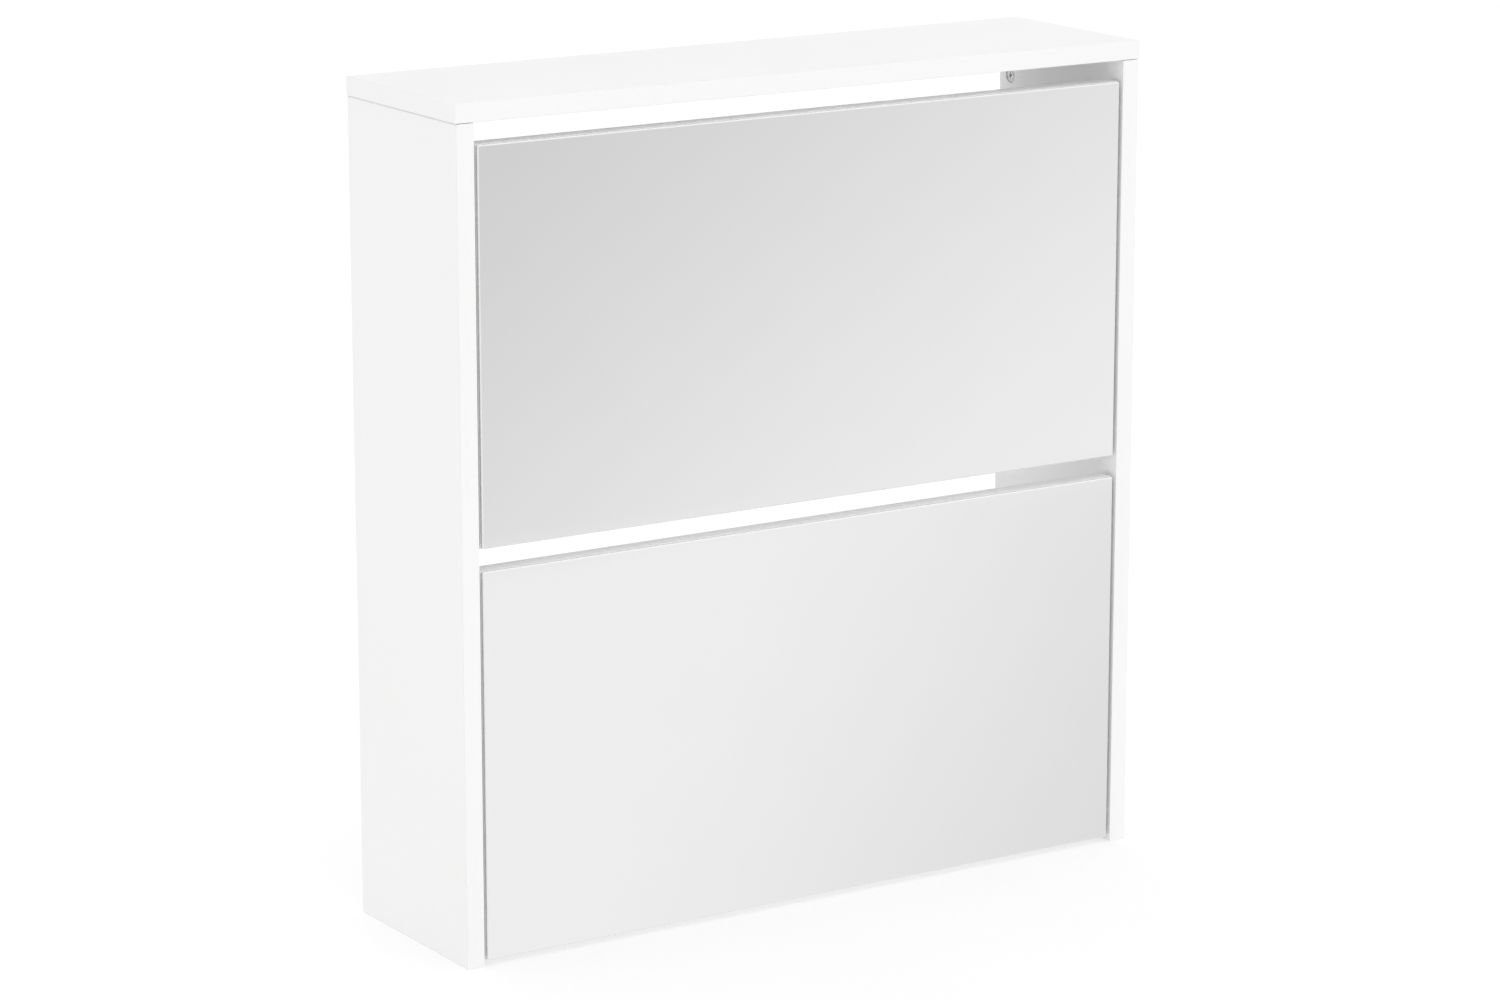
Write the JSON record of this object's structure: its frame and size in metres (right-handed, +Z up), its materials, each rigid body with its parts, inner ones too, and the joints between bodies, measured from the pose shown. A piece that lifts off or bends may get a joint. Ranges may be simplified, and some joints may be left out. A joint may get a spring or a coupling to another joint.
{
  "type": "shoe cabinet",
  "caption": "Slim open-backed shoe cabinet with mirrored fronts on tilting flaps, each carrying a shoe bin.",
  "frame": {"origin": "on the floor, under the middle of the cabinet", "axes": "+X to the right seen from the front, +Y from the front to the back, +Z up; mirrors face -Y"},
  "size_m": [0.63, 0.17, 0.67],
  "materials": {
    "white_board": "satin white melamine on chipboard, with white edge bands",
    "white_paint": "matt white paint on fibreboard",
    "white_plastic": "moulded white plastic with a fine grain",
    "mirror_glass": "silvered float glass with ground edges",
    "zinc": "die-cast zinc, dull",
    "steel": "zinc-plated steel",
    "beech": "bare beech with fluted sides"
  },
  "bodies": {
    "carcass": {"top_panel": "white_board", "side_panel_left": "white_board", "side_panel_right": "white_board", "upper_rail": "white_board", "lower_rail": "white_board", "top_cam_left_front": "zinc", "top_bolt_left_front": "steel", "top_cam_left_back": "zinc", "top_bolt_left_back": "steel", "top_dowel_left": "beech", "upper_rail_cam_left": "zinc", "upper_rail_bolt_left": "steel", "upper_rail_dowel_left": "beech", "upper_pivot_bush_left": "white_plastic", "upper_stop_stud_left": "white_plastic", "lower_rail_cam_left": "zinc", "lower_rail_bolt_left": "steel", "lower_rail_dowel_left": "beech", "lower_pivot_bush_left": "white_plastic", "lower_stop_stud_left": "white_plastic", "top_cam_right_front": "zinc", "top_bolt_right_front": "steel", "top_cam_right_back": "zinc", "top_bolt_right_back": "steel", "top_dowel_right": "beech", "upper_rail_cam_right": "zinc", "upper_rail_bolt_right": "steel", "upper_rail_dowel_right": "beech", "upper_pivot_bush_right": "white_plastic", "upper_stop_stud_right": "white_plastic", "lower_rail_cam_right": "zinc", "lower_rail_bolt_right": "steel", "lower_rail_dowel_right": "beech", "lower_pivot_bush_right": "white_plastic", "lower_stop_stud_right": "white_plastic"},
    "upper_flap": {"upper_door_board": "white_board", "upper_mirror": "mirror_glass", "upper_bin_side_left": "white_plastic", "upper_bin_side_right": "white_plastic", "upper_bin_bottom": "white_paint", "upper_bin_back": "white_paint", "upper_pivot_pin_left": "steel", "upper_bin_screw_left_1": "steel", "upper_bin_screw_left_2": "steel", "upper_pivot_pin_right": "steel", "upper_bin_screw_right_1": "steel", "upper_bin_screw_right_2": "steel"},
    "lower_flap": {"lower_door_board": "white_board", "lower_mirror": "mirror_glass", "lower_bin_side_left": "white_plastic", "lower_bin_side_right": "white_plastic", "lower_bin_bottom": "white_paint", "lower_bin_back": "white_paint", "lower_pivot_pin_left": "steel", "lower_bin_screw_left_1": "steel", "lower_bin_screw_left_2": "steel", "lower_pivot_pin_right": "steel", "lower_bin_screw_right_1": "steel", "lower_bin_screw_right_2": "steel"}
  },
  "joints": [
    {"name": "upper_flap_tilt", "type": "hinge", "parent": "carcass", "child": "upper_flap", "pos_m": [0, -0.0737, 0.3535], "axis": [1, 0, 0], "range_deg": [0, 45]},
    {"name": "lower_flap_tilt", "type": "hinge", "parent": "carcass", "child": "lower_flap", "pos_m": [0, -0.0737, 0.028], "axis": [1, 0, 0], "range_deg": [0, 45]}
  ]
}
